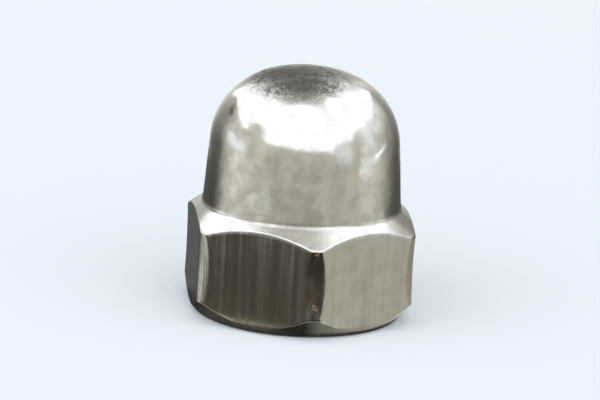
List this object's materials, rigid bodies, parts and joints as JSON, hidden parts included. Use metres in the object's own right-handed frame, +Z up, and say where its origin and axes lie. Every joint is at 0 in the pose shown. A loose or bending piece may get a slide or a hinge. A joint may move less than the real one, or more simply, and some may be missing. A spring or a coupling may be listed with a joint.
{
  "type": "cap nut",
  "caption": "High-domed hexagon cap nut in stainless steel, with a blind threaded bore that covers a bolt's end.",
  "frame": {"origin": "on the axis, in the plane of the bearing face", "axes": "+Z up the axis from the bearing face to the crown; two corners of the hexagon on the Y axis, and two flats facing +X and -X"},
  "size_m": [0.019, 0.0214, 0.0218],
  "materials": {
    "stainless_steel": "bright forged and tumbled, grainy at the crown, lightly drawn on the flats"
  },
  "bodies": {
    "root": {"cap_nut": "stainless_steel"}
  },
  "joints": []
}
